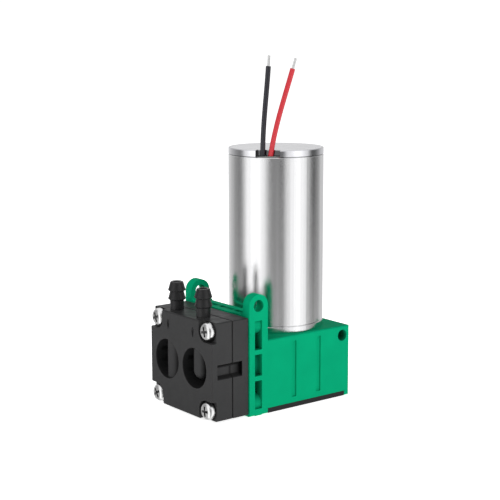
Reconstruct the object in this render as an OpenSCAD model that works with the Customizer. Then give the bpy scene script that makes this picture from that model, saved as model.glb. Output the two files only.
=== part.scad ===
// Miniature diaphragm air pump: an upright direct current motor on a moulded crankcase, and a two-part
// pump head with two hose barbs. The motor axis is Z, the head faces -Y and the base lies on z = 0.

/* [Motor] */
// Outer diameter of the motor
motor_d = 28; // [26:0.1:34]
// Height of the motor above the deck
motor_h = 52.9; // [44:0.1:80]
// Wall of the motor can
can_wall = 0.8; // [0.5:0.1:1.2]
// Height of the front cap's rim
front_cap_h = 1.85; // [1.5:0.05:3]
// Height of the rear cap's rim
end_cap_h = 2; // [1.5:0.1:3]
// Bevel on the outer edges of the can and its caps
can_bevel = 0.2; // [0.1:0.05:0.4]
// Width of the notch in the rear cap where the leads come out
notch_w = 7; // [5:0.5:9]
// Depth of that notch from the rim inwards
notch_depth = 2.6; // [2.5:0.1:3]
// Direction of that notch, in degrees from the head towards +X
notch_angle = 41; // [30:1:50]
// Diameter of the motor shaft
shaft_d = 3; // [2:0.1:3]
// Outer diameter of the sintered shaft bushes
bush_d = 7; // [6:0.1:8]
// Length of the sintered shaft bushes
bush_h = 4.6; // [3:0.1:5]
// Thickness of the two magnets
magnet_t = 2.5; // [1.5:0.1:3]
// Air gap between the magnets and the rotor
air_gap = 0.5; // [0.3:0.1:0.8]
// Space between the front cap and the laminated rotor core
front_space = 8.5; // [6:0.1:10]
// Diameter of the commutator
commutator_d = 7.2; // [6:0.1:8]

/* [Crankcase] */
// Deck left outside the motor on each side
deck_margin = 1.5; // [1:0.1:4]
// Deck left behind the motor
back_margin = 1.7; // [1.5:0.1:4]
// Space between the motor and the flange
flange_gap = 1.4; // [0.9:0.1:3]
// Height of the deck that carries the motor
deck_z = 21.5; // [21:0.1:23]
// Thickness of the deck
deck_t = 2.5; // [2:0.1:2.6]
// Thickness of the side walls
side_wall = 2.2; // [1.5:0.1:2.6]
// Thickness of the front and back walls
end_wall = 1.7; // [1.2:0.1:2]
// Rounding of the moulded outer edges
edge_r = 0.5; // [0.2:0.1:1]
// Width of the shallow grooves in the side walls
groove_w = 1.6; // [1:0.1:2.4]
// Depth of those grooves
groove_depth = 0.45; // [0.2:0.05:0.8]
// Places of those grooves along Y
groove_y = [-5.65, 3.6];
// Diameter of the cross hole at the back
rear_hole_d = 3.4; // [2.4:0.1:3.6]
// Distance of that hole from the back and from the deck
rear_hole_inset = 2.85; // [2.6:0.05:3.4]
// Thickness of the base cover
base_t = 1.5; // [1.2:0.1:2]

/* [Flange and ears] */
// Thickness of the whole flange
flange_t = 6.6; // [6.4:0.1:9]
// Thickness of its front plate
front_plate_t = 1.95; // [1.75:0.05:2.2]
// Thickness of its rear plate
rear_plate_t = 2.1; // [1.8:0.1:3]
// Thickness of the ribs between the plates
rib_t = 1.35; // [1:0.05:2]
// Distance of the ribs from the middle of the flange
rib_offset = 3.82; // [3:0.01:5]
// Height of the flange above the top of the head
flange_lip = 0.3; // [0:0.1:1]
// How far the rear plate ends below the front one
rear_drop = 0.35; // [0:0.05:0.5]
// Thickness of the mounting ears
ear_t = 3; // [2.4:0.1:4]
// Height of the ear holes above the flange
ear_rise = 2.8; // [2.8:0.1:5]
// Diameter of the ear holes
ear_hole_d = 3.4; // [2.4:0.1:3.6]

/* [Pump head] */
// Height of the head's axis above the base
head_z = 14.65; // [14.4:0.05:15]
// Height of the head
head_h = 28.1; // [28:0.1:28.4]
// How far the head stands back from each side of the flange
head_inset = 0.4; // [0:0.1:0.8]
// Thickness of the valve body, the part of the head next to the flange
body_t = 5.6; // [5.4:0.1:7]
// Thickness of the head cover
cover_t = 7.2; // [7.2:0.1:9]
// Distance of the head screws from the sides of the head
screw_inset_x = 3.1; // [3:0.1:3.6]
// Distance of the head screws from the top and bottom of the head
screw_inset_z = 2.7; // [2.7:0.1:3]
// Thread diameter of the head screws
screw_d = 2.5; // [2:0.1:2.6]
// Diameter of their pan heads
screw_head_d = 5.1; // [4:0.1:5.4]
// Height of their pan heads
screw_head_h = 2; // [1.4:0.1:2.2]
// Depth of the corner pockets that hold the pan heads
pocket_depth = 1.65; // [1:0.05:2]
// Diameter of the two round recesses in the face
recess_d = 11.6; // [10:0.1:12]
// Depth of the two recesses
recess_depth = 6; // [4:0.1:6]
// Distance of the recesses from the middle of the head
recess_x = 6.75; // [6.5:0.05:7]
// Height of the slot across the parting line on each side, at the outside
slot_h = 4.4; // [3.5:0.1:5]
// Height of the slot's flat floor, between its two sloping walls
slot_floor_h = 2.5; // [1.5:0.1:3]
// Depth of that slot
slot_depth = 1.45; // [0.5:0.05:1.5]
// Distance of the ports and valves from the middle of the head
port_x = 6.5; // [6.2:0.1:6.7]
// Diameter of the air passages
passage_d = 2.4; // [1.6:0.1:2.6]
// Diameter of the tubes that carry the passages through the recesses
duct_d = 5.6; // [5:0.1:6]

/* [Hose barbs] */
// Diameter of the smooth neck
neck_d = 4; // [3.6:0.1:4.6]
// Largest diameter of the barbs
barb_d = 5.1; // [4.8:0.1:5.6]
// Height of one barb
barb_h = 2.5; // [2:0.1:3]
// Height of the neck below the barbs
neck_h = 3.3; // [2:0.1:5]

/* [Diaphragm drive] */
// Throw of the eccentric, half of the stroke
throw = 1; // [0.5:0.05:1.1]
// Bore of the crank bearing
crank_bore = 6; // [6:0.1:6.4]
// Outer diameter of the crank bearing
crank_od = 13; // [12:0.1:13]
// Width of the crank bearing
crank_w = 5; // [4:0.1:5]
// Diameter of the balls in the crank bearing
ball_d = 2.3; // [1.8:0.1:2.3]
// Number of those balls
ball_count = 8; // [6:1:8]
// Wall of the connecting rod's big end
big_end_wall = 1.8; // [1:0.1:2]
// Width of the connecting rod's stem
stem_w = 5.4; // [4:0.1:6]
// Radius of the counterweight
counterweight_r = 9.5; // [7:0.1:10]
// Outer diameter of the diaphragm
diaphragm_d = 25; // [22:0.1:25]
// Thickness of the diaphragm
diaphragm_t = 1; // [0.6:0.1:1]
// Diameter of the part of the diaphragm that moves
bowl_d = 20; // [18:0.1:20]
// Diameter of the plates that clamp the middle of the diaphragm
clamp_d = 12; // [8:0.1:12]
// Thickness of the retaining plate
retainer_t = 1.2; // [1:0.1:1.2]
// Diameter of the valve discs
valve_d = 6; // [5:0.1:6]
// Thickness of the valve discs
valve_t = 0.5; // [0.4:0.1:0.6]
// Lift of the valve discs
valve_lift = 0.5; // [0.3:0.1:0.5]

/* [Leads] */
// Outer diameter of each lead
lead_d = 1.45; // [1.2:0.05:1.6]
// Diameter of the tinned strands at its end
tip_d = 0.8; // [0.6:0.1:0.9]
// Length of the tinned strands
tip_h = 3; // [2:0.5:5]

/* [Clearances] */
// Gap of a part that slides into another of the same size
slip = 0.02; // [0.01:0.01:0.05]
// Radial running gap of shafts and brushes
running = 0.04; // [0.02:0.01:0.08]
// Radial gap of a screw in its clearance hole
screw_gap = 0.15; // [0.1:0.05:0.3]
// Gap of a moving part that must never touch
free_gap = 0.3; // [0.2:0.05:0.3]

/* [Hidden] */
$fn = 96;

GREEN = "mediumseagreen";
BLACK = "dimgray";
STEEL = "silver";

case_w = motor_d + 2 * deck_margin;
half_w = case_w / 2;
case_back = motor_d / 2 + back_margin;
flange_back = -(motor_d / 2 + flange_gap);
flange_front = flange_back - flange_t;
front_plate_back = flange_front + front_plate_t;
rear_plate_front = flange_back - rear_plate_t;
head_top = head_z + head_h / 2;
head_bottom = head_z - head_h / 2;
flange_h = head_top + flange_lip;
rear_plate_h = flange_h - rear_drop;
flange_mid_y = (flange_front + flange_back) / 2;
room_front = flange_back + end_wall;
room_back = case_back - end_wall;
room_top = deck_z - deck_t;
room_x = half_w - side_wall;
rear_hole_y = case_back - rear_hole_inset;
rear_hole_z = deck_z - rear_hole_inset;
// Wall left round the cross hole
hole_wall = 1.2;
ear_r = flange_t / 2;
ear_z = flange_h + ear_rise;
foot_r = 1.5;
foot_bottom = rear_plate_h - 0.2;
groove_bottom = base_t + 1.7;
groove_top = deck_z - 1.7;

// The base cover reaches from the flange to the back wall
base_front = flange_back;
base_back = room_back - 0.1;
post_r = 2.3;
post_y = [room_front + 2, room_back - 2.2];
post_x = room_x - 2.2;
base_screw_d = 2;
base_screw_head_d = 3.6;
base_screw_l = 7;
base_screw_sink = 0.1;

head_half_w = half_w - head_inset;
body_front = flange_front - body_t;
cover_front = body_front - cover_t;
screw_x = head_half_w - screw_inset_x;
screw_dz = head_h / 2 - screw_inset_z;
screw_seat = cover_front + pocket_depth;
screw_tip = flange_back - 2.4;
pocket_r = screw_head_d / 2 + 0.55;
recess_floor = cover_front + recess_depth;
duct_y = cover_front + 3.5;
slot_front = cover_front + 1.9;
slot_back = flange_front - 2.25;
valve_room_r = valve_d / 2 + 0.3;
inlet_room = valve_t + valve_lift + 0.2;
outlet_room = valve_t + valve_lift + 0.6;
gasket_r = 4.7;
gasket_w = 0.9;
gasket_t = 0.8;
neck_foot = 0.1;

core_r = diaphragm_d / 2 + 1.35;
boss_r = 3;
top_rail_h = 1.5;
bottom_rail_h = 1.9;

// The diaphragm is clamped flat at its rim, and its middle rests one throw back
rim_front = flange_front;
rim_back = rim_front + diaphragm_t;
mid_front = rim_front + throw;
mid_back = mid_front + diaphragm_t;
retainer_front = mid_front - slip - retainer_t;
support_front = mid_back + slip;
support_t = 1.4;
support_back = support_front + support_t;
retaining_screw_d = 2;
retaining_screw_head_d = 3.8;
retaining_screw_l = 8;
centre_hole_r = retaining_screw_d / 2 + 0.1;
chamber_floor = retainer_front - 2 * throw - free_gap;
chamber_r = bowl_d / 2;
bead_w = 0.7;
bead_h = 0.4;
bowl_back = flange_back - 2;

crank_y = throw;
crank_top = head_z + crank_w / 2;
crank_bottom = head_z - crank_w / 2;
pitch_r = (crank_bore + crank_od) / 4;
race_t = (crank_od - crank_bore) / 2 * 0.33;
cage_t = 0.8;
cage_h = 3.2;
big_end_r = crank_od / 2 + big_end_wall;
passage_w = 2 * (big_end_r + 0.5);
stem_wall = 1.2;
stem_flare = 1.2;
pocket_h = 1.4;
hub_r = 5;
hub_bottom = 6.6;
hub_top = crank_bottom - 0.75;
counterweight_h = 4;
set_screw_z = hub_bottom + 2.2;
set_screw_r = 1.25;
set_screw_l = hub_r - shaft_d / 2 - 0.3;
hex_r = 0.72;
hex_depth = 1.1;
shaft_bottom = hub_bottom + 0.6;

can_r = motor_d / 2;
can_inner_r = can_r - can_wall;
cap_top = deck_z + motor_h;
can_top = cap_top - end_cap_h;
can_bottom = deck_z + front_cap_h;
spigot_h = 1.6;
spigot_t = 1.3;
glue_gap = 0.1;
spigot_r = can_inner_r - glue_gap;
card_t = 2.4;
card_top = can_top - spigot_h;
card_bottom = card_top - card_t;
pilot_r = 5;
pilot_h = deck_t - 0.6;
front_bush_z = deck_z - pilot_h + 0.4;
rear_bush_z = can_top - bush_h;
winding_rise = 3.6;
commutator_h = 5;
// The commutator stops short of the rear cap's hub, and the core fills what is left below it
commutator_bottom = rear_bush_z - commutator_h - 0.8;
core_bottom = can_bottom + front_space;
core_top = commutator_bottom - winding_rise - 1.5;
core_h = core_top - core_bottom;
rotor_r = spigot_r - magnet_t - air_gap;
rotor_slots = 5;
slot_r = 1.9;
slot_mid_r = rotor_r * 0.68;
slot_mouth = 1.2;
magnet_angle = 140;
shaft_top = can_top - 0.5;
brush_z = commutator_bottom + commutator_h / 2;
brush_l = 2.9;
brush_w = 2.4;
brush_h = 3;
spring_t = 0.3;
motor_screw_x = 8;
motor_screw_d = 2;
motor_screw_head_d = 3.8;
motor_screw_head_h = 1.3;

// A lead leaves its hole straight, then follows a smooth curve with four guide points. Each guide point is
// given as its distance in from the outside of the can and its distance along the notch.
black_inward = [1.77, 0.37, 1.47, 1.38];
black_along = [-1.63, -1.46, -0.52, 0.03];
red_inward = [1.78, 0.42, 2.18, 2.18];
red_along = [0.64, 1.99, 4.49, 6.82];
black_h = 25.2;
red_h = 24.5;
lead_steps = 14;
lead_foot = can_top + 0.4;

function cubic(c, t) =
    c[0] * pow(1 - t, 3) + 3 * c[1] * t * pow(1 - t, 2) + 3 * c[2] * t * t * (1 - t) + c[3] * pow(t, 3);
function lead_point(inward, along, z) =
    let (a = notch_angle - 90, r = can_r - inward)
    [r * cos(a) - along * sin(a), r * sin(a) + along * cos(a), z];
function lead_route(inward, along, h) = [
    for (z = [card_bottom - 0.4, card_top, lead_foot - 0.6]) lead_point(inward[0], along[0], z),
    for (i = [0 : lead_steps])
        let (t = i / lead_steps)
        lead_point(cubic(inward, t), cubic(along, t), lead_foot + h * t)
];
black_route = lead_route(black_inward, black_along, black_h);
red_route = lead_route(red_inward, red_along, red_h);

// A flat outline in X and Z, drawn out along Y between two places
module along_y(y0, y1) {
    translate([0, y1, 0]) rotate([90, 0, 0]) linear_extrude(y1 - y0) children();
}

// A flat outline in Y and Z, drawn out along X between two places
module along_x(x0, x1) {
    translate([x0, 0, 0]) rotate([90, 0, 90]) linear_extrude(x1 - x0) children();
}

// A flat outline in X and Y, drawn out along Z between two heights
module along_z(z0, z1) {
    translate([0, 0, z0]) linear_extrude(z1 - z0) children();
}

// A profile of radius and -Y, turned about the axis of the pump head
module about_head() {
    translate([0, 0, head_z]) rotate([90, 0, 0]) rotate_extrude() children();
}

// A rectangle between two corners with rounded corners
module rounded_rect(lo, hi, r) {
    translate([lo.x + r, lo.y]) square([hi.x - lo.x - 2 * r, hi.y - lo.y]);
    translate([lo.x, lo.y + r]) square([hi.x - lo.x, hi.y - lo.y - 2 * r]);
    for (x = [lo.x + r, hi.x - r], y = [lo.y + r, hi.y - r]) translate([x, y]) circle(r);
}

// A block between two corners whose edges are all rounded
module soft_block(lo, hi, r) {
    intersection() {
        along_z(lo.z, hi.z) rounded_rect([lo.x, lo.y], [hi.x, hi.y], r);
        along_y(lo.y, hi.y) rounded_rect([lo.x, lo.z], [hi.x, hi.z], r);
        along_x(lo.x, hi.x) rounded_rect([lo.y, lo.z], [hi.y, hi.z], r);
    }
}

// A slot outline along X with round ends
module racetrack(half_length, r) {
    square([2 * half_length, 2 * r], center = true);
    for (side = [-1, 1]) translate([side * half_length, 0]) circle(r);
}

module at_head_screws() {
    for (x = [-screw_x, screw_x], dz = [-screw_dz, screw_dz]) translate([x, 0, head_z + dz]) children();
}

module at_base_screws() {
    for (x = [-post_x, post_x], y = post_y) translate([x, y, 0]) children();
}

// A round bar along Y between two places
module bar_y(r, y0, y1) {
    translate([0, y1, 0]) rotate([90, 0, 0]) cylinder(h = y1 - y0, r = r);
}

// A ring about Z with bevelled outer edges
module bevelled_ring(r_out, r_in, z0, z1, bevel) {
    rotate_extrude() polygon([
        [r_in, z0], [r_out - bevel, z0], [r_out, z0 + bevel],
        [r_out, z1 - bevel], [r_out - bevel, z1], [r_in, z1]
    ]);
}

// A screw with a domed pan head and a cross recess, its seat at the origin and its head towards +Z
module pan_screw(thread_d, head_d, head_h, length, cross = 0.62) {
    dome = head_d / 2 * 0.45;
    arm = head_d * cross / 2;
    difference() {
        rotate_extrude() {
            translate([0, -length]) square([thread_d / 2, length + head_h / 2]);
            difference() {
                union() {
                    square([head_d / 2, head_h - dome]);
                    square([head_d / 2 - dome, head_h]);
                    translate([head_d / 2 - dome, head_h - dome]) circle(dome);
                }
                translate([-head_d, 0]) square([head_d, head_h + 1]);
                translate([0, -head_d]) square([head_d, head_d]);
            }
        }
        for (turn = [0, 90]) rotate([0, 0, turn]) {
            translate([-arm, -head_d * 0.075, head_h * 0.4]) cube([2 * arm, head_d * 0.15, head_h]);
        }
    }
}

// A countersunk screw whose flat face lies at the origin, its shank towards +Z
module countersunk_screw(thread_d, head_d, length) {
    cone = (head_d - thread_d) / 2;
    difference() {
        rotate_extrude() polygon([
            [0, 0], [head_d / 2, 0], [thread_d / 2, cone],
            [thread_d / 2, length - 0.6], [thread_d / 4, length], [0, length]
        ]);
        for (turn = [0, 90]) rotate([0, 0, turn]) {
            translate([-head_d * 0.3, -head_d * 0.07, -1]) cube([head_d * 0.6, head_d * 0.14, 1 + cone]);
        }
    }
}

// The hole that such a screw goes through
module countersink(thread_d, head_d, length, gap) {
    cone = (head_d - thread_d) / 2;
    rotate_extrude() polygon([
        [0, -1], [head_d / 2 + gap, -1], [head_d / 2 + gap, 0], [thread_d / 2 + gap, cone],
        [thread_d / 2 + gap, length], [0, length]
    ]);
}

// A round hole along X through the whole width of the case
module cross_hole(y, z, d) {
    translate([0, y, z]) rotate([0, 90, 0]) cylinder(h = case_w + 2, d = d, center = true);
}

// Room for the crank inside the crankcase
module crank_room() {
    difference() {
        along_z(0, room_top) rounded_rect([-room_x, room_front], [room_x, room_back], 1);
        at_base_screws() cylinder(h = deck_z, r = post_r);
        cross_hole(rear_hole_y, rear_hole_z, rear_hole_d + 2 * hole_wall);
    }
}

// Outline of a flange plate
module plate_outline(h) {
    rounded_rect([-half_w, 0], [half_w, h], edge_r);
}

// What stands between the flange plates
module flange_core() {
    translate([0, head_z]) circle(core_r);
    for (x = [-screw_x, screw_x], dz = [-screw_dz, screw_dz]) translate([x, head_z + dz]) circle(boss_r);
    for (dz = [-rib_offset, rib_offset]) {
        translate([-half_w, head_z + dz - rib_t / 2]) square([case_w, rib_t]);
        translate([dz - rib_t / 2, 0]) square([rib_t, rear_plate_h]);
    }
    for (side = [-1, 1]) {
        x0 = side > 0 ? half_w - ear_t : -half_w;
        translate([x0, flange_h - top_rail_h]) square([ear_t, top_rail_h]);
        translate([x0, 0]) square([ear_t, bottom_rail_h]);
    }
}

module flange() {
    along_y(flange_front, front_plate_back) plate_outline(flange_h);
    along_y(rear_plate_front, flange_back) plate_outline(rear_plate_h);
    along_y(front_plate_back, rear_plate_front) flange_core();
}

// One mounting ear with the fillet at its inner foot, for the +X side
module ear() {
    along_x(half_w - ear_t, half_w) {
        translate([flange_mid_y, ear_z]) circle(ear_r);
        translate([flange_front, flange_h - top_rail_h]) square([flange_t, ear_z - flange_h + top_rail_h]);
    }
    difference() {
        along_y(flange_front, flange_back) {
            translate([half_w - ear_t - foot_r, foot_bottom]) {
                square([foot_r + 0.1, flange_h + foot_r - foot_bottom]);
            }
        }
        translate([half_w - ear_t - foot_r, 0, flange_h + foot_r]) {
            bar_y(foot_r, flange_front - 1, flange_back + 1);
        }
        translate([0, front_plate_back, flange_h - 1]) {
            cube([half_w, rear_plate_front - front_plate_back, 1.2]);
        }
    }
}

module crankcase() color(GREEN) difference() {
    union() {
        soft_block([-half_w, flange_back - 1, 0], [half_w, case_back, deck_z], edge_r);
        flange();
        ear();
        mirror([1, 0, 0]) ear();
    }
    crank_room();
    // Seat of the base cover
    translate([-half_w - 1, base_front, -1]) cube([case_w + 2, base_back - base_front, base_t + 1]);
    for (y = groove_y, side = [-1, 1]) {
        translate([side * half_w - groove_depth, y - groove_w / 2, groove_bottom]) {
            cube([2 * groove_depth, groove_w, groove_top - groove_bottom]);
        }
    }
    // Cross holes through the back and through both ears
    cross_hole(rear_hole_y, rear_hole_z, rear_hole_d);
    cross_hole(flange_mid_y, ear_z, ear_hole_d);
    // Seat and groove of the diaphragm, the bowl behind it and the way for the connecting rod
    translate([0, 0, head_z]) {
        bar_y(diaphragm_d / 2 + slip, rim_front - 1, rim_back);
        bar_y(bowl_d / 2, rim_front - 1, bowl_back);
        difference() {
            bar_y(diaphragm_d / 2 + slip, rim_front - 1, rim_back + bead_h + slip);
            bar_y(diaphragm_d / 2 - bead_w - slip, rim_front - 2, rim_back + 1);
        }
        along_y(bowl_back - 1, room_front + 1) square([passage_w, crank_w + 1.4], center = true);
    }
    at_head_screws() bar_y(screw_d / 2 + slip, flange_front - 1, screw_tip + 0.5);
    // Pilot bore and screw holes of the motor
    translate([0, 0, room_top - 1]) cylinder(h = deck_t + 2, r = pilot_r + slip);
    for (x = [-motor_screw_x, motor_screw_x]) {
        translate([x, 0, room_top - 1]) cylinder(h = deck_t + 2, r = motor_screw_d / 2 + screw_gap);
    }
    at_base_screws() cylinder(h = base_screw_l + 0.5, r = base_screw_d / 2 + slip);
}

module base_cover() color(BLACK) difference() {
    union() {
        soft_block([-half_w, base_front + slip, 0], [half_w, base_back - slip, base_t], 0.2);
        // Locating rim inside the walls
        difference() {
            along_z(base_t / 2, base_t + 1.2) difference() {
                rounded_rect([-room_x + slip, room_front + slip], [room_x - slip, room_back - 0.3], 1);
                rounded_rect([-room_x + 1.1, room_front + 1.1], [room_x - 1.1, room_back - 1.3], 1);
            }
            at_base_screws() translate([0, 0, base_t]) cylinder(h = 4, r = post_r + slip);
        }
    }
    at_base_screws() translate([0, 0, base_screw_sink]) {
        countersink(base_screw_d, base_screw_head_d, base_t + 2, slip);
    }
}

module base_cover_screws() color(STEEL) {
    at_base_screws() translate([0, 0, base_screw_sink]) {
        countersunk_screw(base_screw_d, base_screw_head_d, base_screw_l);
    }
}

// The slot across the parting line on both sides of the head, its walls drawn on past the outside
module side_slots() {
    slope = (slot_h - slot_floor_h) / 2 / slot_depth;
    out_z = slot_h / 2 + slope;
    in_z = slot_floor_h / 2;
    along_y(slot_front, slot_back) for (side = [-1, 1]) translate([side * head_half_w, head_z]) polygon([
        [side, -out_z], [-side * slot_depth, -in_z], [-side * slot_depth, in_z], [side, out_z]
    ]);
}

// Ring outline of the head gasket
module gasket_outline(grow) {
    difference() {
        racetrack(port_x, gasket_r + grow);
        racetrack(port_x, gasket_r - gasket_w - grow);
    }
}

module valve_body() color(BLACK) difference() {
    soft_block([-head_half_w, body_front, head_bottom], [head_half_w, flange_front, head_top], 0.35);
    // Working chamber in front of the diaphragm
    about_head() polygon([
        [0, -flange_front - 1], [chamber_r, -flange_front - 1], [chamber_r, -flange_front],
        [clamp_d / 2 + throw + 0.6, -chamber_floor], [0, -chamber_floor]
    ]);
    // Inlet side: the disc closes against the cover, and air passes round it into the chamber
    translate([-port_x, 0, head_z]) {
        bar_y(valve_room_r, body_front - 1, body_front + inlet_room);
        for (turn = [45 : 90 : 315]) {
            translate([2.3 * cos(turn), 0, 2.3 * sin(turn)]) bar_y(0.6, body_front, chamber_floor + 1.2);
        }
    }
    // Outlet side: the disc closes against this body
    translate([port_x, 0, head_z]) {
        bar_y(valve_room_r, body_front - 1, body_front + outlet_room);
        bar_y(passage_d / 2 - 0.2, body_front, chamber_floor + 1.2);
    }
    translate([0, 0, head_z]) along_y(body_front - 1, body_front + gasket_t) gasket_outline(slip);
    at_head_screws() bar_y(screw_d / 2 + screw_gap, body_front - 1, flange_front + 1);
    side_slots();
}

module head_gasket() color("black") {
    translate([0, 0, head_z]) along_y(body_front + slip, body_front + gasket_t - slip) gasket_outline(0);
}

// Profile of a hose barb, from inside the head to its tip
module barb() {
    barb_z = head_top + neck_h;
    tip_z = barb_z + 2 * barb_h;
    translate([0, duct_y, 0]) rotate_extrude() polygon([
        [0, head_top - 2], [neck_d / 2 + neck_foot, head_top - 2], [neck_d / 2 + neck_foot, head_top],
        [neck_d / 2, head_top + neck_foot],
        [neck_d / 2, barb_z - 0.5], [barb_d / 2, barb_z], [neck_d / 2, barb_z + barb_h - 0.4],
        [barb_d / 2, barb_z + barb_h], [neck_d / 2 - 0.1, tip_z - 0.2], [neck_d / 2 - 0.3, tip_z], [0, tip_z]
    ]);
}

// The tube that carries a passage down through a recess and into the head
module duct(bottom_z) {
    h = head_top - 2 - bottom_z;
    translate([0, duct_y, bottom_z]) cylinder(h = h, d = duct_d);
    translate([-duct_d / 2, duct_y, bottom_z]) cube([duct_d, body_front - duct_y - 0.4, h]);
}

module head_cover() color(BLACK) difference() {
    union() {
        difference() {
            soft_block([-head_half_w, cover_front, head_bottom], [head_half_w, body_front, head_top], 0.45);
            for (side = [-1, 1]) {
                translate([side * recess_x, 0, head_z]) bar_y(recess_d / 2, cover_front - 1, recess_floor);
            }
        }
        translate([-port_x, 0, 0]) duct(head_z - recess_d / 2 - 1);
        // The shorter duct ends in a round nose
        translate([port_x, 0, 0]) {
            duct(head_z - 1);
            translate([0, duct_y, head_z - 1]) sphere(d = duct_d);
            translate([0, body_front - 0.4, head_z - 1]) bar_y(duct_d / 2, duct_y - body_front + 0.4, 0);
        }
        for (side = [-1, 1]) translate([side * port_x, 0, 0]) barb();
    }
    for (side = [-1, 1]) translate([side * port_x, duct_y, head_z - passage_d / 2]) {
        cylinder(h = head_h, d = passage_d);
    }
    for (side = [-1, 1]) translate([side * port_x, 0, head_z]) bar_y(passage_d / 2, duct_y, body_front + 1);
    // Corner pockets for the screw heads, open to the corners
    for (sx = [-1, 1], sz = [-1, 1]) {
        along_y(cover_front - 1, screw_seat) {
            translate([sx * screw_x, head_z + sz * screw_dz]) {
                circle(pocket_r);
                translate([sx > 0 ? 0 : -pocket_r - 1, sz > 0 ? -pocket_r : -pocket_r - 1]) {
                    square([pocket_r + 1, 2 * pocket_r + 1]);
                }
                translate([sx > 0 ? -pocket_r : -pocket_r - 1, sz > 0 ? 0 : -pocket_r - 1]) {
                    square([2 * pocket_r + 1, pocket_r + 1]);
                }
            }
        }
    }
    at_head_screws() bar_y(screw_d / 2 + screw_gap, cover_front - 1, body_front + 1);
    side_slots();
}

module head_screws() color(STEEL) {
    at_head_screws() translate([0, screw_seat, 0]) rotate([90, 20, 0]) {
        pan_screw(screw_d, screw_head_d, screw_head_h, screw_tip - screw_seat);
    }
}

module inlet_valve() color("black") {
    translate([-port_x, 0, head_z]) bar_y(valve_d / 2, body_front + slip, body_front + valve_t + slip);
}

module outlet_valve() color("black") {
    seat = body_front + outlet_room;
    translate([port_x, 0, head_z]) bar_y(valve_d / 2, seat - valve_t - slip, seat - slip);
}

// Middle line of the diaphragm's rolled part, as radius and place along Y
function roll_y(t) = mid_back - (1 - cos(180 * t)) / 2 * throw;

module diaphragm() color("dimgray") {
    r_in = clamp_d / 2 + 0.4;
    r_out = bowl_d / 2 - 0.2;
    steps = 12;
    roll_w = r_out - r_in;
    back_side = [for (i = [0 : steps]) [r_in + roll_w * i / steps, -roll_y(i / steps)]];
    front_side = [for (i = [steps : -1 : 0]) [r_in + roll_w * i / steps, diaphragm_t - roll_y(i / steps)]];
    about_head() polygon(concat(
        [[centre_hole_r, -mid_back]],
        back_side,
        [
            [diaphragm_d / 2 - bead_w, -rim_back], [diaphragm_d / 2 - bead_w, -rim_back - bead_h],
            [diaphragm_d / 2, -rim_back - bead_h], [diaphragm_d / 2, -rim_front]
        ],
        front_side,
        [[centre_hole_r, -mid_front]]
    ));
}

module retaining_plate() color(STEEL) difference() {
    about_head() polygon([
        [0, -mid_front + slip], [clamp_d / 2, -mid_front + slip], [clamp_d / 2, -retainer_front - 0.4],
        [clamp_d / 2 - 0.4, -retainer_front], [0, -retainer_front]
    ]);
    translate([0, retainer_front, head_z]) rotate([-90, 0, 0]) {
        countersink(retaining_screw_d, retaining_screw_head_d, 2 * retainer_t, 0.05);
    }
}

module retaining_screw() color(STEEL) {
    translate([0, retainer_front, head_z]) rotate([-90, 0, 0]) {
        countersunk_screw(retaining_screw_d, retaining_screw_head_d, retaining_screw_l);
    }
}

module connecting_rod() color("lightgray") difference() {
    union() {
        translate([0, 0, head_z]) bar_y(clamp_d / 2, support_front, support_back);
        translate([0, 0, crank_bottom]) linear_extrude(crank_w) {
            translate([0, crank_y]) circle(big_end_r);
            // Stem that widens towards both ends
            polygon([
                [-stem_w / 2, -big_end_r + 1.5], [-stem_w / 2 - 1.6, crank_y - big_end_r + 4],
                [stem_w / 2 + 1.6, crank_y - big_end_r + 4], [stem_w / 2, -big_end_r + 1.5],
                [stem_w / 2, support_back + 2.6], [stem_w / 2 + stem_flare, support_back - 0.2],
                [-stem_w / 2 - stem_flare, support_back - 0.2], [-stem_w / 2, support_back + 2.6]
            ]);
        }
    }
    translate([0, crank_y, crank_bottom - 1]) cylinder(h = crank_w + 2, d = crank_od + 2 * slip);
    // Lightening pockets in the stem, from above and from below
    for (z = [crank_bottom - 1, crank_top - pocket_h]) {
        translate([-stem_w / 2 + stem_wall, -big_end_r - 1.9, z]) {
            cube([stem_w - 2 * stem_wall, 3.2, pocket_h + 1]);
        }
    }
    translate([0, 0, head_z]) {
        bar_y(retaining_screw_d / 2 + slip, support_front - 1, retainer_front + retaining_screw_l + free_gap);
    }
}

// Half section of a bearing ring with its ball groove
module race(r_in, r_out) {
    translate([0, crank_y, head_z]) rotate_extrude() difference() {
        translate([r_in, -crank_w / 2]) square([r_out - r_in, crank_w]);
        translate([pitch_r, 0]) circle(d = ball_d + 2 * running);
    }
}

module crank_bearing_inner() color(STEEL) race(crank_bore / 2 + slip, crank_bore / 2 + race_t);

module crank_bearing_outer() color(STEEL) race(crank_od / 2 - race_t, crank_od / 2);

module at_balls() {
    translate([0, crank_y, head_z]) for (i = [0 : ball_count - 1]) {
        rotate([0, 0, i * 360 / ball_count]) translate([pitch_r, 0, 0]) children();
    }
}

module crank_bearing_balls() color("white") at_balls() sphere(d = ball_d, $fn = 64);

module crank_bearing_cage() color("goldenrod") difference() {
    translate([0, crank_y, head_z]) rotate_extrude() {
        translate([pitch_r - cage_t / 2, -cage_h / 2]) square([cage_t, cage_h]);
    }
    at_balls() rotate([0, 90, 0]) cylinder(h = 2, d = ball_d + 2 * running, center = true);
}

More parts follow.
